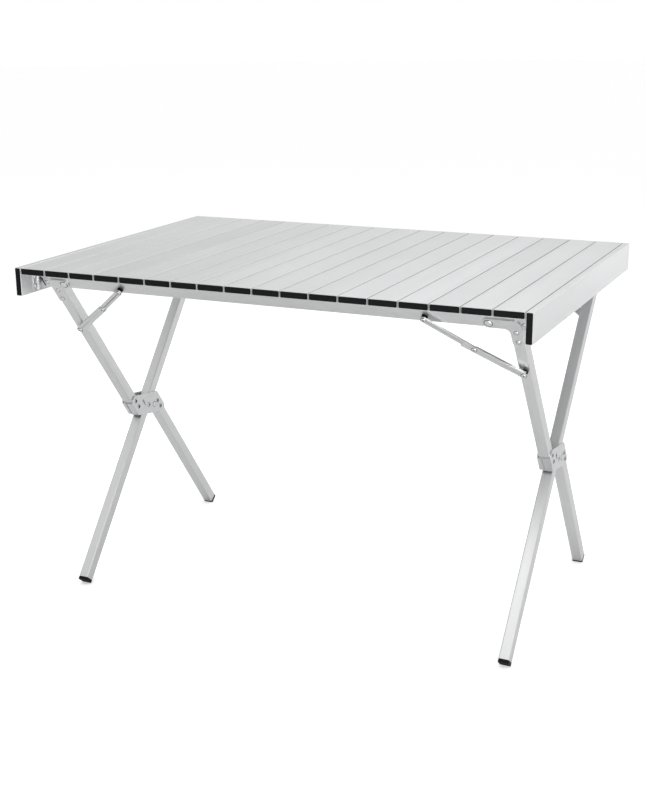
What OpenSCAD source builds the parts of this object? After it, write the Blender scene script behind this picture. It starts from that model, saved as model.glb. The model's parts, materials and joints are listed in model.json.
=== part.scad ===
// Roll-top camp kitchen table: aluminium slats on two rails, carried by two folding X-frames.
// Z is up, X runs along the table, the front faces -Y. The origin is on the ground, at the centre.

/* [Table] */
// Length of the top over both end boards
table_length = 1200; // [900:5:1500]
// Depth of the top, which is the length of every slat
table_depth = 815; // [500:5:1000]
// Height of the top surface above the ground
table_height = 800; // [600:5:950]

/* [Slats] */
// Thickness of a slat
slat_thickness = 15; // [10:0.5:25]
// Gap between two slats
slat_gap = 1; // [0.5:0.1:3]
// Wall of the slat extrusion
slat_wall = 1.2; // [0.8:0.1:3]
// Radius of the slat's long edges
slat_edge = 1.5; // [0.5:0.1:4]
// Length of a slat's end plug
plug_length = 12; // [5:1:30]
// How far the plug's face sits inside the end of the slat
plug_inset = 0.4; // [0:0.1:2]
// Clearance around a plug
plug_clearance = 0.05; // [0.02:0.01:0.3]
// Diameter of the holes that the elastic cords pass through
cord_hole = 5; // [3:0.5:8]
// Distance of each elastic cord from the middle of the slats
cord_reach = 370; // [100:5:385]

/* [Leg frames] */
// Distance of each leg frame from the middle of the table
leg_x = 540; // [400:1:580]
// Width of a leg tube
leg_tube = 26; // [20:0.5:40]
// Wall of a leg tube
leg_wall = 1.6; // [1:0.1:4]
// Radius of a leg tube's long edges
leg_edge = 3; // [0.5:0.5:6]
// Angle by which each leg leans outward from its foot to its top
leg_splay = 0.5; // [0:0.1:1]
// Height of the knee pivot
knee_height = 375; // [250:1:450]
// Angle of the front legs to the ground
front_lean = 53.6; // [45:0.1:70]
// Angle of the rear legs to the ground
rear_lean = 49.8; // [45:0.1:70]
// Offset of each half of the front leg from the knee pivot
knee_offset = 33; // [28:0.5:45]
// Distance from the knee pivot to the near end of each half of the front leg
knee_end = 12; // [10:0.5:40]
// Side clearance of the rear legs between the knee plates
knee_clearance = 0.6; // [0.2:0.1:2]

/* [Rails] */
// Length of each rail
rail_length = 1146; // [800:1:1168]
// Thickness of a rail
rail_thickness = 25; // [15:0.5:40]
// Height of a rail's outer face
rail_face = 48; // [30:1:70]
// Wall of a rail
rail_wall = 2; // [1:0.1:4]
// Thickness of the black cap on each rail end
rail_cap = 4; // [1:0.5:7]

/* [Brackets and braces] */
// Thickness of the leg brackets
bracket_plate = 3; // [2:0.1:5]
// Width of the bracket arms
bracket_width = 25; // [18:0.5:40]
// Radius of a left bracket's outer corner
left_bracket_corner = 8; // [5:0.5:25]
// Radius of a right bracket's outer corner
right_bracket_corner = 15; // [5:0.5:25]
// Radius of a bracket's inner corner
bracket_fillet = 13; // [3:0.5:25]
// Distance from the left leg to the pivot of its bracket
left_pivot_reach = 27; // [20:0.5:80]
// Distance from the right leg to the pivot of its bracket
right_pivot_reach = 54; // [20:0.5:100]
// Height of the bracket pivots above the lower edge of the rail
pivot_rise = 13; // [8:0.5:30]
// Thickness of the knee plates
knee_plate = 2.5; // [1.5:0.1:5]
// Width of a brace's upper link
link_width = 14.5; // [8:0.5:20]
// Thickness of a brace's upper link
link_plate = 3; // [1.5:0.1:5]
// Outer width of the channel that makes a brace's lower link
channel_width = 17; // [14:0.5:30]
// Wall of that channel
channel_wall = 1; // [1:0.1:3]
// Height of the black spacers under the braces
spacer_height = 8; // [3:0.5:20]

/* [Hidden] */
slat_count = 18;
slat_names = [for (i = [1 : slat_count]) str("slat_", i < 10 ? "0" : "", i)];

eps = 0.01;
big = 100;
round_fn = 32;
small_fn = 24;

silver = [0.80, 0.81, 0.83];
dull_silver = [0.66, 0.67, 0.69];
steel = [0.55, 0.56, 0.58];
black = [0.08, 0.08, 0.09];

// Layout of the top: board, gap, slats with gaps between them, gap, board
slat_width = (table_length - 2 * slat_thickness - (slat_count + 1) * slat_gap) / slat_count;
slat_pitch = slat_width + slat_gap;
slat_fillet = 2.2;
first_slat_x = -table_length / 2 + slat_thickness + slat_gap;
seat_height = table_height - slat_thickness;
seat_clearance = 0.05;

// Leg frames. Inside front_side() and rear_side(), Z runs up along the leg from the knee pivot,
// and -Y points outward, away from the other leg frame and down.
seat_rise = seat_height - seat_clearance - knee_height;
foot_corner = 4.5;
foot_cap = 8;
rear_leg_width = leg_tube - 2 * knee_clearance;
front_outer = knee_offset + leg_tube / 2;
rear_outer = leg_tube / 2;
leg_gap = 1.5;

// Fasteners
rivet_radius = 2.4;
rivet_head = 4.6;
rivet_head_height = 1.6;
pin_radius = 3;
pin_head = 5.6;
pin_head_height = 2.4;
pivot_radius = 4;
pivot_head = 8;
pivot_tail = 3;
knee_pin_radius = 4;
knee_pin_head = 5.2;
knee_pin_clearance = 0.3;
spacer_radius = 6.6;
leg_rivets = [9, 37];
knee_rivets_up = [34, 56];
knee_rivets_down = [-24, -46];

// Braces: each end and the middle joint, as [distance from the leg to the middle of the table,
// distance down from the lower edge of the rail]
left_brace = [[176, -10], [105, 52], [5, 136]];
right_brace = [[188, -14], [94, 63], [0, 131]];
left_lap = 10;
right_lap = 28;

function along(rise, outward, lean) = (rise + outward * cos(lean)) / sin(lean);
function seat_along(outward, lean) = along(seat_rise, outward, lean);
function foot_along(outward, lean) = along(foot_corner - knee_height, outward, lean);
function rail_low(outer, lean) = seat_along(outer, lean) - rail_face;

// Distance of a leg's centre line from the middle of the table, at a height along the leg
function leg_at(z) = leg_x + z * tan(leg_splay);
function bracket_x(low) = leg_at(low - (leg_rivets[0] + leg_rivets[1]) / 2);

module front_side() {
    translate([0, 0, knee_height]) rotate([90 - front_lean, 0, 0]) children();
}

module rear_side() {
    translate([0, 0, knee_height]) mirror([0, 1, 0]) rotate([90 - rear_lean, 0, 0]) children();
}

// Leans what stands on the leg at x outward, about its knee
module splayed(x) {
    translate([x, 0, 0]) rotate([0, sign(x) * leg_splay, 0]) translate([-x, 0, 0]) children();
}

// A flat outline in X and Z, raised outward from a face
module on_face(outer) {
    translate([0, -outer, 0]) rotate([90, 0, 0]) children();
}

module rounded_outline(width, height, radius) {
    translate([radius, 0]) square([width - 2 * radius, height]);
    translate([0, radius]) square([width, height - 2 * radius]);
    for (x = [radius, width - radius], y = [radius, height - radius])
        translate([x, y]) circle(radius, $fn = small_fn);
}

// ---- Top ----

// A plugged slat lying with its lower left front corner at the origin, running along +Y
module slat_blank() {
    inner = [slat_width - 2 * slat_wall, slat_thickness - 2 * slat_wall];
    difference() {
        translate([0, table_depth, 0]) rotate([90, 0, 0])
            linear_extrude(table_depth) rounded_outline(slat_width, slat_thickness, slat_edge);
        translate([slat_wall, table_depth + eps, slat_wall]) rotate([90, 0, 0])
            linear_extrude(table_depth + 2 * eps) rounded_outline(inner[0], inner[1], slat_fillet);
    }
    for (back = [0, 1])
        translate([0, back * table_depth, 0]) mirror([0, back, 0])
            translate([slat_wall + plug_clearance, plug_inset, slat_wall + plug_clearance])
                slat_plug([for (size = inner) size - 2 * plug_clearance]);
}

// A cup-shaped plug, closed at the end of the slat
module slat_plug(size) {
    plug_wall = 1.8;
    difference() {
        translate([0, plug_length, 0]) rotate([90, 0, 0]) linear_extrude(plug_length)
            rounded_outline(size[0], size[1], slat_fillet);
        translate([plug_wall, plug_wall, plug_wall])
            cube([size[0] - 2 * plug_wall, plug_length, size[1] - 2 * plug_wall]);
    }
}

// Positions of the two elastic cords along a slat
function cord_places() = [table_depth / 2 - cord_reach, table_depth / 2 + cord_reach];

module top_slat(index) {
    color(silver) translate([first_slat_x + (index - 1) * slat_pitch, -table_depth / 2, seat_height])
        difference() {
            slat_blank();
            for (y = cord_places()) translate([-eps, y, slat_thickness / 2]) rotate([0, 90, 0])
                cylinder(d = cord_hole, h = slat_width + 2 * eps, $fn = small_fn);
        }
}

// An end board is a slat hung on edge at the left end. Its cord holes are in its inner face.
module end_board() {
    color(silver) translate([-table_length / 2, -table_depth / 2, table_height])
        rotate([0, 90, 0]) difference() {
            slat_blank();
            for (y = cord_places()) translate([slat_thickness / 2, y, slat_thickness / 2])
                cylinder(d = cord_hole, h = slat_thickness, $fn = small_fn);
        }
}

// Clips on the inner face of the end board that meet the rail ends, with their rivets
module end_brackets() {
    face_x = -table_length / 2 + slat_thickness;
    plate = 2;
    depth = 6;
    behind = 12;
    top = seat_height - 3;
    low = table_height - slat_width + 4;
    flange = 18;
    rail_near = seat_along(front_outer, front_lean) * cos(front_lean) + front_outer * sin(front_lean);
    color(dull_silver) for (back = [0, 1]) mirror([0, back, 0])
        translate([face_x, behind - rail_near, low]) difference() {
            union() {
                translate([0, -flange, 0]) cube([plate, flange, top - low]);
                translate([0, -plate, 0]) cube([depth, plate, top - low]);
            }
            for (z = [0.25, 0.75])
                translate([-eps, -flange / 2 - plate / 2, z * (top - low)]) rotate([0, 90, 0])
                    cylinder(r = rivet_radius, h = plate + 2 * eps, $fn = small_fn);
        }
    color(steel) for (back = [0, 1], z = [0.25, 0.75]) mirror([0, back, 0])
        translate([face_x, behind - rail_near - flange / 2 - plate / 2, low + z * (top - low)])
            rotate([0, 90, 0]) {
                cylinder(r = rivet_radius, h = plate, $fn = small_fn);
                translate([0, 0, plate])
                    cylinder(r1 = rivet_head, r2 = rivet_head - 1, h = rivet_head_height, $fn = small_fn);
            }
}

module left_end_board() { end_board(); }
module right_end_board() { mirror([1, 0, 0]) end_board(); }
module left_end_brackets() { end_brackets(); }
module right_end_brackets() { mirror([1, 0, 0]) end_brackets(); }

// ---- Rails ----

// Section of a rail, drawn as [outward, up]: a box with its top cut level to carry the slats
module rail_section(outer, lean, wall) {
    inner = outer - rail_thickness;
    low = rail_low(outer, lean);
    cut = wall / sin(lean);
    polygon([
        [inner + wall, low + wall], [outer - wall, low + wall],
        [outer - wall, seat_along(outer - wall, lean) - cut],
        [inner + wall, seat_along(inner + wall, lean) - cut]]);
}

module rail_prism(outer, lean, wall, length) {
    rotate([90, 0, 90]) mirror([1, 0, 0])
        translate([0, 0, -length / 2]) linear_extrude(length) rail_section(outer, lean, wall);
}

module rail(outer, lean) {
    low = rail_low(outer, lean);
    color(silver) difference() {
        rail_prism(outer, lean, 0, rail_length);
        rail_prism(outer, lean, rail_wall, rail_length + 2);
        for (x = pivot_places(low)) pin_hole(outer, x, low + pivot_rise, pivot_radius);
        for (p = [brace_left(low)[0], brace_right(low)[0]]) pin_hole(outer, p[0], p[1], pin_radius);
        for (x = rail_rivet_x()) pin_hole(outer, x, low + rail_rivet_rise, rivet_radius);
    }
}

rail_rivet_rise = 14;
rail_rivet_inset = 9;
function rail_rivet_x() = [-rail_length / 2 + rail_rivet_inset, rail_length / 2 - rail_rivet_inset];
function pivot_places(low) = [left_pivot_reach - bracket_x(low), bracket_x(low) - right_pivot_reach];

// A round hole through the outer wall of a rail or leg
module pin_hole(outer, x, z, radius) {
    translate([x, -outer - eps, z]) rotate([-90, 0, 0])
        cylinder(r = radius, h = rail_wall + 3, $fn = small_fn);
}

module rail_plugs(outer, lean) {
    depth = 5;
    color(black) for (side = [-1, 1]) {
        translate([side * (rail_length - depth) / 2, 0, 0])
            rail_prism(outer, lean, rail_wall, depth + 2 * eps);
        translate([side * (rail_length + rail_cap) / 2, 0, 0])
            rail_prism(outer, lean, 0, rail_cap);
    }
}

module front_rail() { front_side() rail(front_outer, front_lean); }
module rear_rail() { rear_side() rail(rear_outer, rear_lean); }
module front_rail_plugs() { front_side() rail_plugs(front_outer, front_lean); }
module rear_rail_plugs() { rear_side() rail_plugs(rear_outer, rear_lean); }

// ---- Legs ----

// A square tube between two heights, its outer face at a given outward distance
module leg_tube_part(x, outer, width, low, high) {
    translate([x - width / 2, -outer, low]) linear_extrude(high - low) difference() {
        rounded_outline(width, leg_tube, leg_edge);
        translate([leg_wall, leg_wall])
            rounded_outline(width - 2 * leg_wall, leg_tube - 2 * leg_wall, leg_edge - leg_wall);
    }
}

// Holes for a bracket's rivets and a brace's pin, at brace_end, in a leg's outer face
module leg_face_holes(side, outer, lean, brace_end) {
    low = rail_low(outer, lean);
    pin_z = low - brace_end[1];
    for (drop = leg_rivets) pin_hole(outer, side * bracket_x(low), low - drop, rivet_radius);
    pin_hole(outer, side * (leg_at(pin_z) - brace_end[0]), pin_z, pin_radius);
}

module across_hole(x, y, z, radius) {
    translate([x - big / 2, y, z]) rotate([0, 90, 0]) cylinder(r = radius, h = big, $fn = small_fn);
}

module front_leg_upper(x, brace_end) {
    high = rail_low(front_outer, front_lean) - leg_gap;
    color(silver) front_side() difference() {
        splayed(x) difference() {
            leg_tube_part(x, front_outer, leg_tube, knee_end, high);
            for (z = knee_rivets_up) across_hole(x, -knee_offset, z, rivet_radius);
        }
        leg_face_holes(sign(x), front_outer, front_lean, brace_end);
    }
}

module front_leg_lower(x) {
    outward = -knee_offset + leg_tube / 2;
    color(silver) front_side() splayed(x) difference() {
        leg_tube_part(x, outward, leg_tube, foot_along(outward, front_lean), -knee_end);
        for (z = knee_rivets_down) across_hole(x, knee_offset, z, rivet_radius);
    }
}

module rear_leg(x, brace_end) {
    high = rail_low(rear_outer, rear_lean) - leg_gap;
    color(silver) rear_side() difference() {
        splayed(x)
            leg_tube_part(x, rear_outer, rear_leg_width, foot_along(rear_outer, rear_lean), high);
        leg_face_holes(sign(x), rear_outer, rear_lean, brace_end);
        across_hole(x, 0, 0, knee_pin_radius + knee_pin_clearance);
    }
}

module left_front_leg_upper() { front_leg_upper(-leg_x, left_brace[2]); }
module right_front_leg_upper() { front_leg_upper(leg_x, right_brace[2]); }
module left_front_leg_lower() { front_leg_lower(-leg_x); }
module right_front_leg_lower() { front_leg_lower(leg_x); }
module left_rear_leg() { rear_leg(-leg_x, left_brace[2]); }
module right_rear_leg() { rear_leg(leg_x, right_brace[2]); }

// Black plugs in the feet, with a flat where they stand on the ground
module foot_plug(x, outward, lean, width) {
    low = foot_along(outward, lean);
    plug = 20;
    translate([x - width / 2, -outward, low - foot_cap])
        linear_extrude(foot_cap) rounded_outline(width, leg_tube, leg_edge);
    translate([x - width / 2 + leg_wall, -outward + leg_wall, low - eps]) linear_extrude(plug)
        rounded_outline(width - 2 * leg_wall, leg_tube - 2 * leg_wall, leg_edge - leg_wall);
}

module ground() {
    translate([-table_length, -table_depth, -big]) cube([2 * table_length, 2 * table_depth, big]);
}

module rear_feet() {
    color(black) difference() {
        front_side() for (x = [-leg_x, leg_x]) splayed(x)
            foot_plug(x, -knee_offset + leg_tube / 2, front_lean, leg_tube);
        ground();
    }
}

module front_feet() {
    color(black) difference() {
        rear_side() for (x = [-leg_x, leg_x]) splayed(x)
            foot_plug(x, rear_outer, rear_lean, rear_leg_width);
        ground();
    }
}

// ---- Knees ----

left_lip = 7.5;
right_lip = 15.9;
lip_up = [19, 62];
lip_down = [-58, -19];
knee_slot = [5.5, 19];
knee_slot_at = [-13.7, 14];
knee_boss_at = [17, -19];
knee_boss_head = 6.2;

// Outline of a knee plate, drawn as [Y, Z]
module knee_outline() {
    edge = front_outer + knee_plate;
    difference() {
        polygon([
            [-edge, lip_up[0] - 2], [-edge, lip_up[1]], [-41, 69], [-27, 69],
            [edge, -4], [edge, lip_down[0]], [39, -66], [20, -54]]);
        circle(knee_pin_radius, $fn = small_fn);
        for (z = knee_rivets_up) translate([-knee_offset, z]) circle(rivet_radius, $fn = small_fn);
        for (z = knee_rivets_down) translate([knee_offset, z]) circle(rivet_radius, $fn = small_fn);
        translate(knee_slot_at)
            rounded_outline(knee_slot[0], knee_slot[1], knee_slot[0] / 2 - eps);
        translate(knee_boss_at) circle(rivet_radius, $fn = small_fn);
    }
}

// A plate against one side of the leg (1 is the right side), with its lips over both leg halves
module knee_side(x, side) {
    plate_lip = side < 0 ? left_lip : right_lip;
    color(dull_silver) front_side() splayed(x) translate([x, 0, 0]) mirror([side < 0 ? 1 : 0, 0, 0]) {
        translate([leg_tube / 2, 0, 0]) rotate([90, 0, 90]) linear_extrude(knee_plate) knee_outline();
        translate([leg_tube / 2 - plate_lip, -front_outer - knee_plate, lip_up[0]])
            cube([plate_lip + eps, knee_plate, lip_up[1] - lip_up[0]]);
        translate([leg_tube / 2 - plate_lip, front_outer, lip_down[0]])
            cube([plate_lip + eps, knee_plate, lip_down[1] - lip_down[0]]);
    }
}

module left_knee_outer_plate() { knee_side(-leg_x, -1); }
module left_knee_inner_plate() { knee_side(-leg_x, 1); }
module right_knee_inner_plate() { knee_side(leg_x, -1); }
module right_knee_outer_plate() { knee_side(leg_x, 1); }

// A rivet or pin right across a knee, with a head on each side
module across_pin(x, y, z, radius, head, head_height) {
    half = leg_tube / 2 + knee_plate;
    translate([x, y, z]) rotate([0, 90, 0]) {
        translate([0, 0, -half]) cylinder(r = radius, h = 2 * half, $fn = small_fn);
        for (side = [0, 1]) mirror([0, 0, side]) translate([0, 0, half])
            cylinder(r1 = head, r2 = head - 1, h = head_height, $fn = small_fn);
    }
}

// A short rivet with a broad head, in one plate
module knee_boss(x, side) {
    translate([x, knee_boss_at[0], knee_boss_at[1]]) mirror([side < 0 ? 1 : 0, 0, 0])
        translate([leg_tube / 2, 0, 0]) rotate([0, 90, 0]) {
            cylinder(r = rivet_radius, h = knee_plate, $fn = small_fn);
            translate([0, 0, knee_plate])
                cylinder(r1 = knee_boss_head, r2 = knee_boss_head - 1, h = rivet_head_height,
                    $fn = small_fn);
        }
}

module knee_rivets() {
    color(steel) front_side() for (x = [-leg_x, leg_x]) splayed(x) {
        for (z = knee_rivets_up)
            across_pin(x, -knee_offset, z, rivet_radius, rivet_head, rivet_head_height);
        for (z = knee_rivets_down)
            across_pin(x, knee_offset, z, rivet_radius, rivet_head, rivet_head_height);
        for (side = [-1, 1]) knee_boss(x, side);
    }
}

module knee_pivot_pins() {
    color(steel) front_side() for (x = [-leg_x, leg_x]) splayed(x)
        across_pin(x, 0, 0, knee_pin_radius, knee_pin_head, rivet_head_height);
}

// Black bumpers on the front legs that the rear legs close against
module knee_bumpers() {
    width = 14;
    height = 4;
    length = 9;
    low = 54;
    color(black) front_side() for (x = [-leg_x, leg_x]) splayed(x)
        translate([x - width / 2, -knee_offset + leg_tube / 2, low])
            cube([width, height, length]);
}

// ---- Leg brackets ----

// Outline of a leg bracket around a left leg at X = 0, with its pivot at +reach
module bracket_outline(low, reach, corner) {
    half = bracket_width / 2;
    end_corner = 5;
    end_margin = 10;
    foot = low - leg_rivets[1] - end_margin;
    pivot = low + pivot_rise;
    top = pivot + half;
    difference() {
        union() {
            translate([-half, foot]) rounded_outline(bracket_width, pivot - half - foot, end_corner);
            translate([-half, foot + end_corner])
                square([bracket_width, top - corner - foot - end_corner]);
            translate([corner - half, pivot - half])
                square([reach - corner + half, bracket_width]);
            translate([corner - half, top - corner])
                circle(corner, $fn = 2 * round_fn);
            translate([reach, pivot]) circle(half, $fn = round_fn);
            translate([half - eps, pivot - half - bracket_fillet])
                square([bracket_fillet + eps, bracket_fillet + eps]);
        }
        translate([half + bracket_fillet, pivot - half - bracket_fillet])
            circle(bracket_fillet, $fn = round_fn);
        translate([reach, pivot]) circle(pivot_radius, $fn = small_fn);
        for (drop = leg_rivets) translate([0, low - drop]) circle(rivet_radius, $fn = small_fn);
    }
}

module left_bracket(outer, lean) {
    low = rail_low(outer, lean);
    color(dull_silver) translate([-bracket_x(low), 0, 0]) on_face(outer)
        linear_extrude(bracket_plate) bracket_outline(low, left_pivot_reach, left_bracket_corner);
}

module right_bracket(outer, lean) {
    low = rail_low(outer, lean);
    color(dull_silver) translate([bracket_x(low), 0, 0]) mirror([1, 0, 0]) on_face(outer)
        linear_extrude(bracket_plate) bracket_outline(low, right_pivot_reach, right_bracket_corner);
}

module left_front_leg_bracket() { front_side() left_bracket(front_outer, front_lean); }
module right_front_leg_bracket() { front_side() right_bracket(front_outer, front_lean); }
module left_rear_leg_bracket() { rear_side() left_bracket(rear_outer, rear_lean); }
module right_rear_leg_bracket() { rear_side() right_bracket(rear_outer, rear_lean); }

// A fastener through the outer wall of a tube, its head at a given stand-off from the face
module face_pin(x, z, radius, head, head_height, standoff, tail) {
    translate([x, z, -tail]) cylinder(r = radius, h = tail + standoff, $fn = small_fn);
    translate([x, z, standoff])
        cylinder(r1 = head, r2 = head - 1, h = head_height, $fn = small_fn);
}

// Rivets that hold the brackets to the legs and the plugs into the rail ends
module face_rivets(outer, lean) {
    low = rail_low(outer, lean);
    color(steel) on_face(outer) {
        for (x = [-bracket_x(low), bracket_x(low)], drop = leg_rivets)
            face_pin(x, low - drop, rivet_radius, rivet_head, rivet_head_height, bracket_plate, leg_wall);
        for (x = rail_rivet_x())
            face_pin(x, low + rail_rivet_rise, rivet_radius, rivet_head, rivet_head_height, 0, rail_wall);
    }
}

module front_rivets() { front_side() face_rivets(front_outer, front_lean); }
module rear_rivets() { rear_side() face_rivets(rear_outer, rear_lean); }

// ---- Braces ----

// Where a brace's points lie on the outer face: X and Z
function left_point(p, low) = [p[0] - leg_at(low - p[1]), low - p[1]];
function right_point(p, low) = [leg_at(low - p[1]) - p[0], low - p[1]];
function brace_left(low) = [for (p = left_brace) left_point(p, low)];
function brace_right(low) = [for (p = right_brace) right_point(p, low)];

// Places its children with +X pointing from p to q, and gives them that length
module from_to(p, q) {
    translate([p[0], p[1], 0]) rotate([0, 0, atan2(q[1] - p[1], q[0] - p[0])]) children();
}

module link_outline(length, width, before, after, radius) {
    difference() {
        union() {
            translate([-before, -width / 2]) square([length + before + after, width]);
            if (before == 0) circle(width / 2, $fn = round_fn);
            if (after == 0) translate([length, 0]) circle(width / 2, $fn = round_fn);
        }
        for (x = [0, length]) translate([x, 0]) circle(radius, $fn = small_fn);
    }
}

// A flat upper link from the rail pin to the middle joint
module upper_link(outer, points) {
    color(silver) on_face(outer) from_to(points[0], points[1])
        translate([0, 0, spacer_height]) linear_extrude(link_plate)
            link_outline(norm(points[1] - points[0]), link_width, 0, 0, pin_radius);
}

channel_floor = spacer_height + link_plate + 0.3;

// A channel-shaped lower link from the middle joint to the leg pin, its open side to the leg
module lower_link(outer, points, lap) {
    length = norm(points[2] - points[1]);
    color(silver) on_face(outer) from_to(points[1], points[2]) {
        translate([0, 0, channel_floor]) linear_extrude(channel_wall)
            link_outline(length, channel_width, lap, 0, pin_radius);
        for (side = [-1, 1])
            translate([0, side * (channel_width - channel_wall) / 2 - channel_wall / 2, spacer_height - 1])
                cube([length, channel_wall, channel_floor - spacer_height + 1 + eps]);
    }
}

module left_front_brace_upper_link() {
    front_side() upper_link(front_outer, brace_left(rail_low(front_outer, front_lean)));
}
module left_front_brace_lower_link() {
    front_side() lower_link(front_outer, brace_left(rail_low(front_outer, front_lean)), left_lap);
}
module right_front_brace_upper_link() {
    front_side() upper_link(front_outer, brace_right(rail_low(front_outer, front_lean)));
}
module right_front_brace_lower_link() {
    front_side() lower_link(front_outer, brace_right(rail_low(front_outer, front_lean)), right_lap);
}
module left_rear_brace_upper_link() {
    rear_side() upper_link(rear_outer, brace_left(rail_low(rear_outer, rear_lean)));
}
module left_rear_brace_lower_link() {
    rear_side() lower_link(rear_outer, brace_left(rail_low(rear_outer, rear_lean)), left_lap);
}
module right_rear_brace_upper_link() {
    rear_side() upper_link(rear_outer, brace_right(rail_low(rear_outer, rear_lean)));
}
module right_rear_brace_lower_link() {
    rear_side() lower_link(rear_outer, brace_right(rail_low(rear_outer, rear_lean)), right_lap);
}

// Pivot bolts of the brackets and the pins of the braces
module pivot_pins(outer, lean) {
    low = rail_low(outer, lean);
    color(steel) on_face(outer) {
        for (x = pivot_places(low))
            face_pin(x, low + pivot_rise, pivot_radius, pivot_head, pin_head_height, bracket_plate,
                pivot_tail);
        for (brace = [brace_left(low), brace_right(low)]) {
            face_pin(brace[0][0], brace[0][1], pin_radius, pin_head, pin_head_height,
                spacer_height + link_plate, rail_wall);
            face_pin(brace[1][0], brace[1][1], pin_radius, pin_head, pin_head_height,
                channel_floor + channel_wall, -spacer_height);
            face_pin(brace[2][0], brace[2][1], pin_radius, pin_head, pin_head_height,
                channel_floor + channel_wall, leg_wall);
        }
    }
}

module front_pivot_pins() { front_side() pivot_pins(front_outer, front_lean); }
module rear_pivot_pins() { rear_side() pivot_pins(rear_outer, rear_lean); }

// Black round spacers that hold the braces off the rail and the leg
module spacer(point, height) {
    translate([point[0], point[1], 0]) linear_extrude(height) difference() {
        circle(spacer_radius, $fn = round_fn);
        circle(pin_radius, $fn = small_fn);
    }
}

module brace_spacers(outer, lean) {
    low = rail_low(outer, lean);
    color(black) on_face(outer) for (brace = [brace_left(low), brace_right(low)]) {
        spacer(brace[0], spacer_height);
        spacer(brace[2], channel_floor);
    }
}

module front_brace_spacers() { front_side() brace_spacers(front_outer, front_lean); }
module rear_brace_spacers() { rear_side() brace_spacers(rear_outer, rear_lean); }

front_rail();
front_rail_plugs();
left_front_leg_upper();
left_front_leg_lower();
right_front_leg_upper();
right_front_leg_lower();
left_knee_outer_plate();
left_knee_inner_plate();
right_knee_inner_plate();
right_knee_outer_plate();
knee_rivets();
knee_pivot_pins();
knee_bumpers();
left_front_leg_bracket();
right_front_leg_bracket();
front_rivets();
front_pivot_pins();
left_front_brace_upper_link();
left_front_brace_lower_link();
right_front_brace_upper_link();
right_front_brace_lower_link();
front_brace_spacers();
rear_feet();
rear_rail();
rear_rail_plugs();
left_rear_leg();
right_rear_leg();
left_rear_leg_bracket();
right_rear_leg_bracket();
rear_rivets();
rear_pivot_pins();
left_rear_brace_upper_link();
left_rear_brace_lower_link();
right_rear_brace_upper_link();
right_rear_brace_lower_link();
rear_brace_spacers();
front_feet();
left_end_board();
left_end_brackets();
right_end_board();
right_end_brackets();
for (i = [1 : slat_count]) top_slat(i);
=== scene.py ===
import json
import math

import bmesh
import bpy
from mathutils import Matrix, Vector


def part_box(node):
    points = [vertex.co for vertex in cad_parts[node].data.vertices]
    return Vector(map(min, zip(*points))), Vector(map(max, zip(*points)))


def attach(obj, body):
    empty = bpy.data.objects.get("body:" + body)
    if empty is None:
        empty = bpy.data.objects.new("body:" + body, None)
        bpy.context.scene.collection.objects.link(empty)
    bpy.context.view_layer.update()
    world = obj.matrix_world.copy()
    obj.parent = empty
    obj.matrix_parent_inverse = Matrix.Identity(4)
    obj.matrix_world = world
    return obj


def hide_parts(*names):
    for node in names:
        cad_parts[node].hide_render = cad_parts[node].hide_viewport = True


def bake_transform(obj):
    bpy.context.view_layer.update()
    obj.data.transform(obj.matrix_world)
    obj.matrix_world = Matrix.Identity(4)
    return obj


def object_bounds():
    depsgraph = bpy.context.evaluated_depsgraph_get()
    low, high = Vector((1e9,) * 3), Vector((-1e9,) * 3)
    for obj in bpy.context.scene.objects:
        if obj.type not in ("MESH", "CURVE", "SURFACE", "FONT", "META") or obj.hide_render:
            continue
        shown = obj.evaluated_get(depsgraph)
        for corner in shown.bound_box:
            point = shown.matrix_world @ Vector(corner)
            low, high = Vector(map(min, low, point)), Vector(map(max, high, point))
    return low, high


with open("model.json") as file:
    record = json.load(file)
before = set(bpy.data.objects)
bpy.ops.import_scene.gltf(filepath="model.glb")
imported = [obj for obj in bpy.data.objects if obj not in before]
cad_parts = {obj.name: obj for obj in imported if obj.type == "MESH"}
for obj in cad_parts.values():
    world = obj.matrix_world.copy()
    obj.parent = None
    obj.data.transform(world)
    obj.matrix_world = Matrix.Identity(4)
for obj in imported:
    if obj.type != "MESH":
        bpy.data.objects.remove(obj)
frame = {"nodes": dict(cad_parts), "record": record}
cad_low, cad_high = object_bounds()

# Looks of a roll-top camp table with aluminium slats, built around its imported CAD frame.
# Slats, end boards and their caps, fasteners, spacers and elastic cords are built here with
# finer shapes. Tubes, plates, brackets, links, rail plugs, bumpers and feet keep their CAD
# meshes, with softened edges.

NODES = frame["nodes"]
BODIES = {name: list(group) for name, group in frame["record"]["behaviour"]["bodies"].items()}
BODY_OF = {node: body for body, group in BODIES.items() for node in group}

MM = 0.001
FRONT_LEAN = math.radians(53.6)
REAR_LEAN = math.radians(49.8)
# The camera stands to the right of the front, a little above the top
CAMERA_EYE = (1.2771, -2.7985, 1.3622)
CAMERA_VIEW = (-0.40557, 0.86772, -0.28737)
CAMERA_ROLL = math.radians(0.61)
CAMERA_LENS = 59.55
# The studio: sky strength by direction, soft boxes as (name, place, size, watts), and the floor
SKY_SLOPE = (0.06, 0.14, 0.08)
SKY_GLOW = 0.66
SOFTBOXES = (
    ("softbox_left", (-3.0, -1.6, 2.2), (1.8, 1.8), 6.0),
    ("softbox_right", (3.0, -2.2, 1.9), (2.2, 2.2), 12.0),
    ("softbox_top", (0.2, 1.4, 3.2), (3.0, 2.0), 30.0),
    ("softbox_front", (-0.7, -2.2, 3.6), (2.4, 1.8), 24.0),
    ("softbox_low", (1.7, -2.2, 0.6), (1.6, 0.9), 32.0),
    ("softbox_back", (2.6, 3.6, 0.8), (3.2, 1.6), 14.0),
)
SOFTBOX_TARGET = (0.0, 0.0, 0.5)
FLOOR_TONE = (0.88, 0.88, 0.88)
FLOOR_GLOW = 0.36
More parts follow.
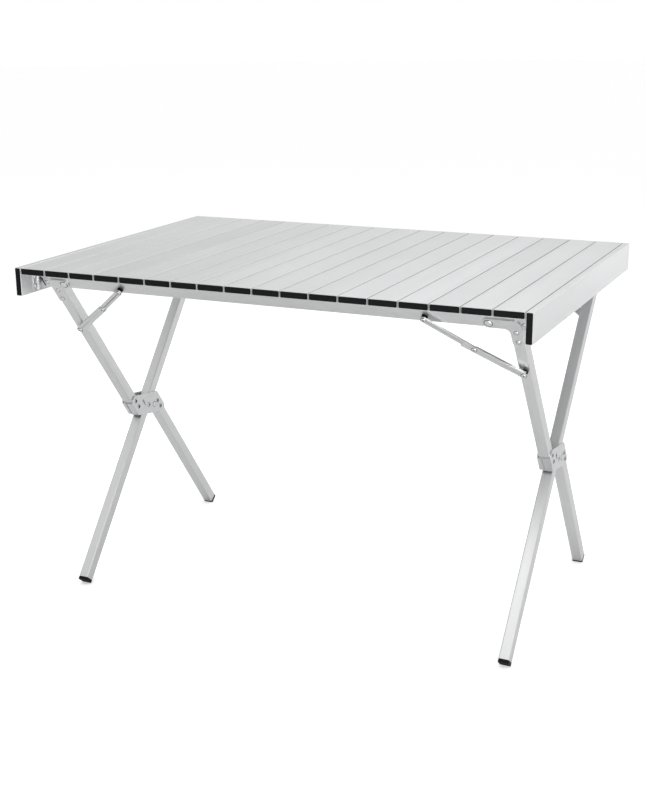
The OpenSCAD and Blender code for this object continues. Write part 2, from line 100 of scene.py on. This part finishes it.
# Tones of the metals and the plastic, the near-black painted shade at rivet heads and bores, and
# how dark the painted shade makes the sides of the slats in their gaps
SLAT_TONE = (0.66, 0.665, 0.67)
TUBE_TONE = (0.60, 0.604, 0.608)
SHEET_TONE = (0.60, 0.605, 0.61)
STEEL_TONE = (0.66, 0.665, 0.675)
# Painted shade: the near-black tone of the rings round rivet heads and of the floors of their
# bores.
PAINTED_SHADE_TONE = (0.03, 0.03, 0.031)
BLACK_TONE = (0.005, 0.005, 0.0053)
GAP_SHADE = 0.22

X_AXIS, Y_AXIS, Z_AXIS = Vector((1, 0, 0)), Vector((0, 1, 0)), Vector((0, 0, 1))

SLAT_NODES = sorted(name for name in NODES if name.startswith("slat_"))
BOARD_NODES = ["left_end_board", "right_end_board"]


# ---------------------------------------------------------------- camera, light and floor

def aim(eye, forward, roll=0.0):
    """A matrix at eye that looks along forward, rolled clockwise as seen by the viewer."""
    forward = forward.normalized()
    level = forward.cross(Z_AXIS).normalized()
    upright = level.cross(forward)
    right = level * math.cos(roll) - upright * math.sin(roll)
    up = upright * math.cos(roll) + level * math.sin(roll)
    turn = Matrix((right, up, -forward)).transposed()
    return Matrix.Translation(eye) @ turn.to_4x4()


def add_object(name, data, matrix=None):
    made = bpy.data.objects.new(name, data)
    bpy.context.scene.collection.objects.link(made)
    if matrix is not None:
        made.matrix_world = matrix
    return made


def add_camera():
    """The camera at the angle of the photograph."""
    data = bpy.data.cameras.new("photo_camera")
    data.sensor_fit = "AUTO"
    data.sensor_width = 36.0
    data.lens = CAMERA_LENS
    data.clip_start, data.clip_end = 0.05, 100.0
    matrix = aim(Vector(CAMERA_EYE), Vector(CAMERA_VIEW), CAMERA_ROLL)
    bpy.context.scene.camera = add_object("photo_camera", data, matrix)


def add_softbox(name, eye, target, width, height, power):
    """A rectangular lamp at eye that faces target and isn't seen itself."""
    data = bpy.data.lights.new(name, "AREA")
    data.shape = "RECTANGLE"
    data.size, data.size_y = width, height
    data.energy = power
    eye = Vector(eye)
    lamp = add_object(name, data, aim(eye, Vector(target) - eye))
    lamp.visible_camera = False


def add_studio():
    """White to the eye, with a softer sky to light the metal, brightest behind and above."""
    world = bpy.data.worlds.new("studio")
    world.use_nodes = True
    tree = world.node_tree
    sky = next(n for n in tree.nodes if n.type == "BACKGROUND")
    seen = tree.nodes.new("ShaderNodeLightPath").outputs["Is Camera Ray"]
    direction = tree.nodes.new("ShaderNodeTexCoord").outputs["Generated"]
    slope = tree.nodes.new("ShaderNodeVectorMath")
    slope.operation = "DOT_PRODUCT"
    slope.inputs[1].default_value = SKY_SLOPE
    tree.links.new(direction, slope.inputs[0])
    glow = tree.nodes.new("ShaderNodeMath")
    glow.operation = "ADD"
    glow.inputs[1].default_value = SKY_GLOW
    tree.links.new(slope.outputs["Value"], glow.inputs[0])
    pick = tree.nodes.new("ShaderNodeMix")
    pick.inputs[3].default_value = 1.0
    tree.links.new(seen, pick.inputs[0])
    tree.links.new(glow.outputs[0], pick.inputs[2])
    tree.links.new(pick.outputs[0], sky.inputs["Strength"])
    sky.inputs["Color"].default_value = (1.0, 1.0, 1.0, 1.0)
    bpy.context.scene.world = world
    bpy.context.scene.view_settings.view_transform = "Standard"

    for name, eye, size, power in SOFTBOXES:
        add_softbox(name, eye, SOFTBOX_TARGET, *size, power)

    floor = bpy.data.meshes.new("studio_floor")
    rim, reach = 96, 30.0
    ring = [(reach * math.cos(math.tau * i / rim), reach * math.sin(math.tau * i / rim), 0.0)
            for i in range(rim)]
    floor.from_pydata(ring, [], [range(rim)])
    paint = Paint("studio_floor")
    cloud = paint.noise(paint.place(), scale=3.0, detail=3.0)
    paint.color(paint.blend(cloud, scaled(FLOOR_TONE, 0.98), FLOOR_TONE))
    paint.set(Roughness=0.9, Emission_Color=(1.0, 1.0, 1.0, 1.0))
    lit = paint.add("LightPath", {}).outputs["Is Camera Ray"]
    paint.link("Emission Strength", paint.math("MULTIPLY", lit, FLOOR_GLOW))
    floor.materials.append(paint.material)
    add_object("studio_floor", floor)


# ---------------------------------------------------------------- procedural materials

class Paint:
    """A Principled material and short ways to add nodes to it."""

    def __init__(self, name):
        self.material = bpy.data.materials.new(name)
        self.material.use_nodes = True
        self.tree = self.material.node_tree
        self.shader = next(n for n in self.tree.nodes if n.type == "BSDF_PRINCIPLED")

    def add(self, kind, inputs, **settings):
        node = self.tree.nodes.new("ShaderNode" + kind)
        for key, value in settings.items():
            setattr(node, key, value)
        for key, value in inputs.items():
            if isinstance(value, bpy.types.NodeSocket):
                self.tree.links.new(value, node.inputs[key])
            else:
                node.inputs[key].default_value = value
        return node

    def set(self, **values):
        for key, value in values.items():
            self.shader.inputs[key.replace("_", " ")].default_value = value

    def link(self, key, socket):
        self.tree.links.new(socket, self.shader.inputs[key])

    def color(self, socket):
        self.link("Base Color", socket)

    def place(self, size=(1, 1, 1), axis=Y_AXIS):
        """Object coordinates, with Y turned onto axis and each length counted in size."""
        turn = Y_AXIS.rotation_difference(axis).to_euler()
        source = self.add("TexCoord", {}).outputs["Object"]
        return self.add("Mapping", {"Vector": source, "Rotation": turn, "Scale": size},
                        vector_type="TEXTURE").outputs["Vector"]

    def noise(self, place, scale=1.0, detail=2.0, roughness=0.5, distortion=0.0):
        inputs = {"Vector": place, "Scale": scale, "Detail": detail, "Roughness": roughness,
                  "Distortion": distortion}
        return self.add("TexNoise", inputs).outputs["Fac"]

    def math(self, operation, a, b=0.0):
        return self.add("Math", {0: a, 1: b}, operation=operation).outputs[0]

    def range(self, value, low, high, source=(0.3, 0.7)):
        return self.add("MapRange", {"Value": value, "From Min": source[0], "From Max": source[1],
                                     "To Min": low, "To Max": high}).outputs["Result"]

    def blend(self, factor, low, high):
        """A colour between low and high, each a tone triple."""
        node = self.add("Mix", {0: factor}, data_type="RGBA")
        node.inputs[6].default_value = (*low, 1.0)
        node.inputs[7].default_value = (*high, 1.0)
        return node.outputs[2]

    def darken(self, color, factor):
        """Scales a colour by a factor that varies over the surface."""
        gray = self.add("CombineColor", {0: factor, 1: factor, 2: factor}).outputs[0]
        node = self.add("Mix", {0: 1.0}, data_type="RGBA", blend_type="MULTIPLY")
        self.tree.links.new(color, node.inputs[6])
        self.tree.links.new(gray, node.inputs[7])
        return node.outputs[2]

    def bump(self, height, distance, normal=None):
        """The surface relief of height, in metres, over that of an earlier normal."""
        inputs = {"Height": height, "Distance": distance, "Strength": 1.0}
        if normal is not None:
            inputs["Normal"] = normal
        return self.add("Bump", inputs).outputs["Normal"]


def scaled(color, factor):
    return tuple(channel * factor for channel in color)


def anodised(name, tone, roughness, axis, slat_steps=None):
    """Satin anodised extrusion: fine draw lines along axis over a faint matt grain.

    slat_steps gives each slat its own tone, and paints shade onto the slat sides that face into the
    gaps.
    """
    paint = Paint(name)
    fine = paint.noise(paint.place((0.0005, 0.30, 0.0005), axis), detail=3.0)
    broad = paint.noise(paint.place((0.006, 1.6, 0.006), axis), detail=2.0)
    cloud = paint.noise(paint.place((0.16, 0.30, 0.16), axis), detail=4.0, roughness=0.6)
    grain = paint.noise(paint.place((0.00035, 0.00035, 0.00035)), detail=2.0)
    scuff = paint.noise(paint.place((0.0012, 0.02, 0.0012), axis), detail=5.0, distortion=1.2)

    streak = paint.math("ADD", paint.range(fine, -0.018, 0.018), paint.range(broad, -0.022, 0.022))
    shade = paint.math("ADD", streak, paint.range(cloud, 0.975, 1.015))
    shade = paint.math("SUBTRACT", shade, paint.range(scuff, 0.0, 0.05, (0.66, 0.74)))
    if slat_steps is not None:
        start, pitch = slat_steps
        along = paint.add("SeparateXYZ", {"Vector": paint.place()}).outputs["X"]
        step = paint.math("DIVIDE", paint.math("SUBTRACT", along, start), pitch)
        step = paint.math("FLOOR", step)
        pick = paint.add("TexWhiteNoise", {"W": paint.math("ADD", step, 0.37)},
                         noise_dimensions="1D").outputs["Value"]
        shade = paint.math("MULTIPLY", shade, paint.range(pick, 0.955, 1.035, (0.0, 1.0)))
        # Painted shade: slat sides that face into the gaps are darkened by GAP_SHADE.
        facing = paint.add("TexCoord", {}).outputs["Normal"]
        sideways = paint.add("SeparateXYZ", {"Vector": facing}).outputs["X"]
        sideways = paint.math("ABSOLUTE", sideways)
        shade = paint.math("MULTIPLY", shade, paint.range(sideways, 1.0, GAP_SHADE, (0.55, 0.95)))
    base = paint.blend(cloud, scaled(tone, 0.99), scaled(tone, 1.01))
    paint.color(paint.darken(base, shade))

    matt = paint.math("ADD", paint.range(broad, -0.03, 0.03), paint.range(grain, -0.03, 0.03))
    matt = paint.math("ADD", matt, paint.range(scuff, 0.0, 0.10, (0.62, 0.74)))
    paint.link("Roughness", paint.math("ADD", matt, roughness))
    paint.set(Metallic=0.92, Specular_IOR_Level=0.5)
    lines = paint.bump(fine, 0.000012)
    paint.link("Normal", paint.bump(grain, 0.000010, lines))
    return paint.material


def pressed_sheet(name, tone, roughness, axis):
    """Rolled and stamped sheet: cross-hatched handling marks, a soft mottle and dulled patches."""
    paint = Paint(name)
    rolled = paint.noise(paint.place((0.0006, 0.05, 0.0006), axis), detail=4.0)
    mottle = paint.noise(paint.place((0.010, 0.010, 0.010)), detail=5.0, roughness=0.65)
    scratch = paint.noise(paint.place((0.0009, 0.030, 0.0009), X_AXIS), detail=3.0, distortion=2.0)
    shade = paint.math("ADD", paint.range(rolled, -0.04, 0.04), paint.range(mottle, 0.93, 1.04))
    shade = paint.math("ADD", shade, paint.range(scratch, 0.0, 0.12, (0.68, 0.76)))
    base = paint.blend(mottle, scaled(tone, 0.97), scaled(tone, 1.02))
    paint.color(paint.darken(base, shade))
    paint.link("Roughness", paint.math("ADD", paint.range(mottle, -0.07, 0.07), roughness))
    paint.set(Metallic=0.95)
    paint.link("Normal", paint.bump(mottle, 0.00006, paint.bump(rolled, 0.00002)))
    return paint.material


def turned_steel(name, tone, roughness):
    """Zinc-plated steel: a clouded plating with small pits."""
    paint = Paint(name)
    cloud = paint.noise(paint.place((0.003, 0.003, 0.003)), detail=4.0)
    pits = paint.noise(paint.place((0.0005, 0.0005, 0.0005)), detail=2.0)
    shade = paint.math("SUBTRACT", paint.range(cloud, 0.90, 1.05),
                       paint.range(pits, 0.0, 0.14, (0.62, 0.74)))
    base = paint.blend(cloud, scaled(tone, 0.97), scaled(tone, 1.03))
    paint.color(paint.darken(base, shade))
    paint.link("Roughness", paint.math("ADD", paint.range(cloud, -0.06, 0.08), roughness))
    paint.set(Metallic=1.0)
    paint.link("Normal", paint.bump(pits, 0.00003))
    return paint.material


def moulded_plastic(name, tone, roughness):
    """Black moulded plastic: a leathery spark grain, flow marks and a few pale scuffs."""
    paint = Paint(name)
    cells = paint.add("TexVoronoi", {"Vector": paint.place((0.0007, 0.0007, 0.0007)), "Scale": 1.0},
                      feature="F1").outputs["Distance"]
    flow = paint.noise(paint.place((0.012, 0.004, 0.004)), detail=4.0, distortion=0.8)
    scuff = paint.noise(paint.place((0.0025, 0.0025, 0.0010)), detail=5.0, distortion=1.5)
    base = paint.blend(flow, scaled(tone, 0.75), scaled(tone, 1.3))
    worn = paint.add("Mix", {0: paint.range(scuff, 0.0, 0.25, (0.60, 0.72)), 6: base,
                             7: (0.03, 0.03, 0.031, 1.0)}, data_type="RGBA").outputs[2]
    paint.color(worn)
    paint.link("Roughness", paint.math("ADD", paint.range(flow, -0.05, 0.07), roughness))
    paint.set(Metallic=0.0, Specular_IOR_Level=0.10)
    paint.link("Normal", paint.bump(cells, 0.00005))
    return paint.material


def braided_cord(name):
    """Black elastic cord: a woven sheath of small diamonds."""
    paint = Paint(name)
    place = paint.add("SeparateXYZ", {"Vector": paint.place((0.0009, 0.0009, 0.0009))}).outputs
    one = paint.math("SINE", paint.math("ADD", place["X"], place["Z"]))
    two = paint.math("SINE", paint.math("SUBTRACT", place["X"], place["Y"]))
    weave = paint.math("MULTIPLY", one, two)
    paint.color(paint.blend(paint.range(weave, 0.0, 1.0, (-1.0, 1.0)),
                            (0.012, 0.012, 0.013), (0.035, 0.035, 0.037)))
    paint.set(Roughness=0.85)
    paint.link("Normal", paint.bump(weave, 0.00012))
    return paint.material


# ---------------------------------------------------------------- mesh helpers

def rounded_loop(low, high, radius, steps):
    """Corner-rounded rectangle as points, from its low and high corners."""
    points = []
    corners = [(high[0] - radius, high[1] - radius), (low[0] + radius, high[1] - radius),
               (low[0] + radius, low[1] + radius), (high[0] - radius, low[1] + radius)]
    for index, (x, z) in enumerate(corners):
        for step in range(steps + 1):
            angle = math.pi / 2 * (index + step / steps)
            points.append((x + radius * math.cos(angle), z + radius * math.sin(angle)))
    return points


def skin(bm, rings, closed=False, capped=False):
    """Joins rings of equal size with quads. closed joins the last to the first."""
    verts = [[bm.verts.new(p) for p in ring] for ring in rings]
    size = len(verts[0])
    pairs = list(zip(verts, verts[1:] + verts[:1])) if closed else list(zip(verts, verts[1:]))
    for a, b in pairs:
        for i in range(size):
            bm.faces.new((a[i], a[(i + 1) % size], b[(i + 1) % size], b[i]))
    if capped:
        bm.faces.new(verts[0][::-1])
        bm.faces.new(verts[-1])


def mesh_object(name, bm, body, material, sharp_degrees=35.0):
    """Turns bm into a smooth-shaded piece that rides on body."""
    bmesh.ops.recalc_face_normals(bm, faces=bm.faces)
    mesh = bpy.data.meshes.new(name)
    bm.to_mesh(mesh)
    bm.free()
    mesh.shade_smooth()
    mesh.set_sharp_from_angle(angle=math.radians(sharp_degrees))
    mesh.materials.append(material)
    made = add_object(name, mesh)
    weighted = made.modifiers.new("even_shading", "WEIGHTED_NORMAL")
    weighted.keep_sharp = True
    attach(made, body)
    return made


def long_axis(obj):
    """The direction in which a CAD node is longest, to orient its draw lines."""
    points = [v.co for v in obj.data.vertices]
    centre = sum(points, Vector()) / len(points)
    axis = Vector((0.3, 0.5, 0.8))
    for _ in range(40):
        total = Vector()
        for p in points:
            offset = p - centre
            total += offset * offset.dot(axis)
        axis = total.normalized()
    return axis


def solids(node):
    """The separate solids of a CAD node, each as a list of points."""
    bm = bmesh.new()
    bm.from_mesh(NODES[node].data)
    bmesh.ops.remove_doubles(bm, verts=bm.verts, dist=0.5e-6)
    left, groups = set(bm.verts), []
    while left:
        stack, group = [left.pop()], []
        while stack:
            vert = stack.pop()
            group.append(vert.co.copy())
            for edge in vert.link_edges:
                other = edge.other_vert(vert)
                if other in left:
                    left.remove(other)
                    stack.append(other)
        groups.append(group)
    bm.free()
    return sorted(groups, key=lambda g: tuple(round(c, 5) for c in sum(g, Vector()) / len(g)))


def lathe(bm, outline, foot, axis, segments=40):
    """Adds one turned solid. outline is (radius, height) pairs, from axis to axis or a ring."""
    across = axis.orthogonal().normalized()
    beside = axis.cross(across)
    solid = outline[0][0] == 0.0
    columns = []
    for radius, height in outline:
        middle = foot + axis * height
        if radius == 0.0:
            columns.append([bm.verts.new(middle)])
            continue
        spokes = (across * math.cos(math.tau * i / segments)
                  + beside * math.sin(math.tau * i / segments) for i in range(segments))
        columns.append([bm.verts.new(middle + spoke * radius) for spoke in spokes])
    pairs = zip(columns, columns[1:]) if solid else zip(columns, columns[1:] + columns[:1])
    for a, b in pairs:
        for i in range(segments):
            j = (i + 1) % segments
            if len(a) == 1:
                bm.faces.new((a[0], b[j], b[i]))
            elif len(b) == 1:
                bm.faces.new((a[i], a[j], b[0]))
            else:
                bm.faces.new((a[i], a[j], b[j], b[i]))


# ---------------------------------------------------------------- slats and end boards

WALL = 1.2 * MM
OUTER_ROUND = 1.5 * MM
INNER_ROUND = 2.2 * MM
CORD_RADIUS = 1.7 * MM
CORD_HOLE = 2.5 * MM
CORD_REACH = 0.370
CORD_DROP = 7.5 * MM
CORD_INSIDE = 6 * MM


def slat_shell(node):
    """An open-ended tube in the place of a slat or end board, with its end edges eased."""
    low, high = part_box(node)
    ease = 0.25 * MM
    steps = 6

    def ring(y, grow, inner):
        inset = WALL if inner else 0.0
        radius = (INNER_ROUND if inner else OUTER_ROUND) + grow
        loop = rounded_loop((low.x + inset - grow, low.z + inset - grow),
                            (high.x - inset + grow, high.z - inset + grow), radius, steps)
        return [(x, y, z) for x, z in loop]

    bm = bmesh.new()
    skin(bm, [ring(low.y + ease, 0, False), ring(high.y - ease, 0, False),
              ring(high.y, -ease, False), ring(high.y, ease, True),
              ring(high.y - ease, 0, True), ring(low.y + ease, 0, True),
              ring(low.y, ease, True), ring(low.y, -ease, False)], closed=True)
    return bm


def drill(bm, cutters):
    """Cuts round holes, each given as (centre, length along X), and returns the cut mesh."""
    def temporary(name, source):
        bmesh.ops.recalc_face_normals(source, faces=source.faces)
        mesh = bpy.data.meshes.new(name)
        source.to_mesh(mesh)
        source.free()
        return add_object(name, mesh)

    tool = bmesh.new()
    for centre, length in cutters:
        lathe(tool, [(0.0, 0.0), (CORD_HOLE, 0.0), (CORD_HOLE, length), (0.0, length)],
              centre - X_AXIS * length / 2, X_AXIS, 28)
    blank, cutter = temporary("slat_blank", bm), temporary("cord_drill", tool)
    cut = blank.modifiers.new("cut", "BOOLEAN")
    cut.object, cut.operation, cut.solver = cutter, "DIFFERENCE", "EXACT"
    shaped = bmesh.new()
    shaped.from_object(blank, bpy.context.evaluated_depsgraph_get())
    for used in (blank, cutter):
        mesh = used.data
        bpy.data.objects.remove(used)
        bpy.data.meshes.remove(mesh)
    return shaped


def end_cap(bm, node, back):
    """A plug with a rounded face, a shallow recessed panel and a moulding gate.

    The profile runs from the plug's inner end to its panel, as (inset, proud) in millimetres.
    """
    low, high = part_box(node)
    fit = 0.05 * MM
    base = high.y if back else low.y
    outward = 1.0 if back else -1.0
    profile = [(0.0, -12.0), (0.0, 0.0), (0.15, 0.28), (0.5, 0.40), (1.5, 0.45),
               (1.75, 0.25), (2.0, 0.20)]
    rings = []
    for inset, proud in profile:
        edge = WALL + fit + inset * MM
        radius = max(INNER_ROUND - inset * MM, 0.4 * MM)
        loop = rounded_loop((low.x + edge, low.z + edge), (high.x - edge, high.z - edge), radius, 6)
        rings.append([(x, base + outward * proud * MM, z) for x, z in loop])
    skin(bm, rings, capped=True)
    gate = Vector(((low.x + high.x) / 2, base + outward * 0.1 * MM, (low.z + high.z) / 2))
    lathe(bm, [(0.0, 0.0), (1.5 * MM, 0.0), (1.5 * MM, 0.28 * MM), (1.2 * MM, 0.38 * MM),
               (0.5 * MM, 0.38 * MM), (0.4 * MM, 0.25 * MM), (0.0, 0.25 * MM)],
          gate, Y_AXIS * outward, 20)


def cord_places(x_inside, z):
    """Where the front and rear cords pass x_inside."""
    return [Vector((x_inside, side * CORD_REACH, z)) for side in (-1, 1)]


def build_slats(slat_finish, board_finish, plastic):
    """A drilled shell and two end caps in the place of each slat and end board."""
    top = cad_high.z
    for node in SLAT_NODES + BOARD_NODES:
        body = BODY_OF[node]
        low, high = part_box(node)
        if node in BOARD_NODES:
            inner_x = high.x if node == BOARD_NODES[0] else low.x
            cutters = [(p, 4 * WALL) for p in cord_places(inner_x, top - CORD_DROP)]
            finish = board_finish
        else:
            middle, length = (low.x + high.x) / 2, 1.2 * (high.x - low.x)
            cutters = [(p, length) for p in cord_places(middle, top - CORD_DROP)]
            finish = slat_finish
        shell = mesh_object(node + "_extrusion", drill(slat_shell(node), cutters), body,
                            finish)
        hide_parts(node)
        caps = bmesh.new()
        for back in (False, True):
            end_cap(caps, node, back)
        mesh_object(node + "_end_caps", caps, body, plastic)


def build_cords(material):
    """Short straight lengths of elastic cord, each between two neighbouring slats."""
    chain = [BOARD_NODES[0]] + SLAT_NODES + [BOARD_NODES[1]]
    for index, (left, right) in enumerate(zip(chain, chain[1:])):
        start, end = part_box(left)[1].x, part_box(right)[0].x
        rings, count = 13, 16
        for side in (-1, 1):
            bm = bmesh.new()
            columns = []
            for step in range(rings):
                x = start - CORD_INSIDE + (end - start + 2 * CORD_INSIDE) * step / (rings - 1)
                centre = Vector((x, side * CORD_REACH, cad_high.z - CORD_DROP))
                columns.append([centre + Vector((0, math.cos(a), math.sin(a))) * CORD_RADIUS
                                for a in (math.tau * i / count for i in range(count))])
            skin(bm, columns, capped=True)
            bmesh.ops.recalc_face_normals(bm, faces=bm.faces)
            name = f"elastic_cord_{index + 1:02d}_{'front' if side < 0 else 'rear'}"
            mesh = bpy.data.meshes.new(name)
            bm.to_mesh(mesh)
            bm.free()
            mesh.shade_smooth()
            mesh.materials.append(material)
            cord = add_object(name, mesh)
            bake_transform(cord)


# ---------------------------------------------------------------- fasteners and spacers

FRONT_OUT = Vector((0, -math.sin(FRONT_LEAN), -math.cos(FRONT_LEAN)))
REAR_OUT = Vector((0, math.sin(REAR_LEAN), -math.cos(REAR_LEAN)))
BROAD_HEAD = 5.9 * MM
BORE_DEPTH = 2.2 * MM
# Painted shade: a dark ring round each rivet head stands a lift over the metal, out to a reach
# times the head's radius.
# Painted shade: a dark disc in a bore lies BORE_FLOOR below the top of the head.
SHADE_RING_LIFT = 0.18 * MM
SHADE_RING_REACH = 1.16
BORE_FLOOR = 0.45 * MM


def measure(points, axis):
    """Foot point on the axis line, and the (radius, height) pairs of a turned solid."""
    heights = [p.dot(axis) for p in points]
    flat = [p - axis * h for p, h in zip(points, heights)]
    low = Vector([min(p[i] for p in flat) for i in range(3)])
    high = Vector([max(p[i] for p in flat) for i in range(3)])
    centre = (low + high) / 2
    foot = min(heights)
    pairs = [((p - centre).length, h - foot) for p, h in zip(flat, heights)]
    return centre + axis * foot, pairs


def dome(head, base, rise, bore):
    """A rivet head's outline above height base, from its rim to the axis.

    bore is the bore's share of the head's radius, and 0 leaves the head closed.
    """
    rim = 0.22 * rise
    steps = 8
    outline = [(head * 0.97, base), (head, base + rim * 0.5), (head * 0.96, base + rim)]
    for step in range(1, steps):
        angle = math.pi / 2 * step / steps
        outline.append((head * 0.94 * math.cos(angle), base + rim + (rise - rim) * math.sin(angle)))
    top = base + rise
    if bore:
        mouth = head * bore
        outline = [p for p in outline if p[0] > mouth * 1.25]
        edge = outline[-1][1]
        outline += [(mouth * 1.1, edge), (mouth, edge - 0.15 * MM),
                    (mouth * 0.96, top - BORE_DEPTH), (0.0, top - BORE_DEPTH)]
    else:
        outline.append((0.0, top))
    return outline


def fastener(bm, points, axis, bore):
    """Rebuilds one CAD rivet or pin with rounded heads, in the same place and size."""
    foot, pairs = measure(points, axis)
    tip = max(h for _, h in pairs)
    head = max(r for r, _ in pairs)
    rims = [h for r, h in pairs if r > 0.98 * head]
    if max(rims) < tip / 2:
        fastener(bm, points, -axis, bore)
    elif min(rims) < tip / 3:
        rise = min(rims)
        upper = dome(head, tip - rise, rise, bore)
        lower = [(r, tip - h) for r, h in reversed(upper)]
        shank = head * 0.55
        lathe(bm, lower + [(shank, rise), (shank, tip - rise)] + upper, foot, axis)
    else:
        base = min(rims)
        shank = max(r for r, h in pairs if h < 0.2 * MM)
        lathe(bm, [(0.0, 0.0), (shank, 0.0), (shank, base)] + dome(head, base, tip - base, bore),
              foot, axis)


def painted_shade_rings(bm, points, axis, bore):
    """Painted shade: a dark ring round each head of a fastener, and a dark disc on the floor of its
    bore.
    """
    foot, pairs = measure(points, axis)
    tip = max(h for _, h in pairs)
    head = max(r for r, _ in pairs)
    for sign in (1, -1):
        rims = [h if sign > 0 else tip - h for r, h in pairs if r > 0.98 * head]
        base = max(rims)
        if base < tip / 2:
            continue
        start = foot if sign > 0 else foot + axis * tip
        inner, outer = 0.9 * head, SHADE_RING_REACH * head
        lathe(bm, [(inner, base), (outer, base), (outer, base + SHADE_RING_LIFT),
                   (inner, base + SHADE_RING_LIFT)], start, axis * sign)
        if bore:
            mouth = 1.08 * bore * head
            upper, lower = tip - BORE_FLOOR, tip - BORE_FLOOR - SHADE_RING_LIFT
            lathe(bm, [(0.0, lower), (mouth, lower), (mouth, upper), (0.0, upper)],
                  start, axis * sign)


def build_fasteners(steel, painted_shade):
    """Domed heads in place of the CAD ones. Heads broader than BROAD_HEAD have no bore."""
    jobs = [("front_rivets", FRONT_OUT, 0.0), ("rear_rivets", REAR_OUT, 0.0),
            ("front_pivot_pins", FRONT_OUT, 0.34), ("rear_pivot_pins", REAR_OUT, 0.34),
            ("knee_rivets", X_AXIS, 0.66), ("knee_pivot_pins", X_AXIS, 0.5)]
    for node, axis, share in jobs:
        bm, dark = bmesh.new(), bmesh.new()
        for points in solids(node):
            head = max(r for r, _ in measure(points, axis)[1])
            bore = 0.0 if head > BROAD_HEAD else share
            fastener(bm, points, axis, bore)
            painted_shade_rings(dark, points, axis, bore)
        made = mesh_object(node + "_domed", bm, BODY_OF[node], steel, 50.0)
        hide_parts(node)
        # Painted shade: dark rings round the heads and dark discs in the bores.
        mesh_object(node + "_seams", dark, BODY_OF[node], painted_shade, 50.0)


def build_spacers(plastic):
    """Ribbed collars under the braces."""
    for node, axis in (("front_brace_spacers", FRONT_OUT), ("rear_brace_spacers", REAR_OUT)):
        bm = bmesh.new()
        for points in solids(node):
            foot, pairs = measure(points, axis)
            outer, bore = max(r for r, _ in pairs), min(r for r, _ in pairs)
            tall = max(h for _, h in pairs)
            waist, soft = 0.86 * outer, 0.5 * MM
            outline = [(bore, 0.0), (outer - soft, 0.0), (outer, soft), (outer, 0.22 * tall),
                       (waist, 0.34 * tall), (waist, 0.66 * tall), (outer, 0.78 * tall),
                       (outer, tall - soft), (outer - soft, tall), (bore, tall)]
            lathe(bm, outline, foot, axis)
        made = mesh_object(node + "_ribbed", bm, BODY_OF[node], plastic)
        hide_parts(node)


# ---------------------------------------------------------------- CAD parts that stay

def soften(obj, width):
    """Rounds a CAD part's hard edges without touching its mesh."""
    obj.data.shade_smooth()
    if "custom_normal" in obj.data.attributes:
        obj.data.attributes.remove(obj.data.attributes["custom_normal"])
    weld = obj.modifiers.new("weld", "WELD")
    weld.merge_threshold = 1e-6
    bevel = obj.modifiers.new("soft_edges", "BEVEL")
    bevel.width, bevel.segments = width, 2
    bevel.limit_method, bevel.angle_limit = "ANGLE", math.radians(40)
    bevel.use_clamp_overlap = False
    shading = obj.modifiers.new("even_shading", "WEIGHTED_NORMAL")
    shading.keep_sharp = False


def finish_cad(tube_tone, sheet_tone, plastic):
    """Gives each CAD part that stays visible its material and softened edges."""
    for name, obj in NODES.items():
        if obj.hide_render:
            continue
        obj.data.materials.clear()
        if any(word in name for word in ("feet", "plugs", "bumpers")):
            obj.data.materials.append(plastic)
            soften(obj, 0.7 * MM)
        elif any(word in name for word in ("plate", "bracket")):
            sheet = pressed_sheet(name + "_sheet", sheet_tone, 0.36, long_axis(obj))
            obj.data.materials.append(sheet)
            soften(obj, 0.35 * MM)
        else:
            tube = anodised(name + "_anodised", tube_tone, 0.40, long_axis(obj))
            obj.data.materials.append(tube)
            soften(obj, 0.3 * MM)


# ---------------------------------------------------------------- assembly

add_camera()
add_studio()
first, second = (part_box(name)[0].x for name in SLAT_NODES[:2])
slat_finish = anodised("slat_anodised", SLAT_TONE, 0.42, Y_AXIS, (first, second - first))
black = moulded_plastic("black_moulding", BLACK_TONE, 0.5)
build_slats(slat_finish, anodised("board_anodised", SLAT_TONE, 0.42, Y_AXIS), black)
build_cords(braided_cord("elastic_sheath"))
# The second steel is painted shade, for the rings round rivet heads and the bore floors.
build_fasteners(turned_steel("plated_steel", STEEL_TONE, 0.30),
                turned_steel("painted_shade_steel", PAINTED_SHADE_TONE, 0.7))
build_spacers(black)
finish_cad(TUBE_TONE, SHEET_TONE, black)
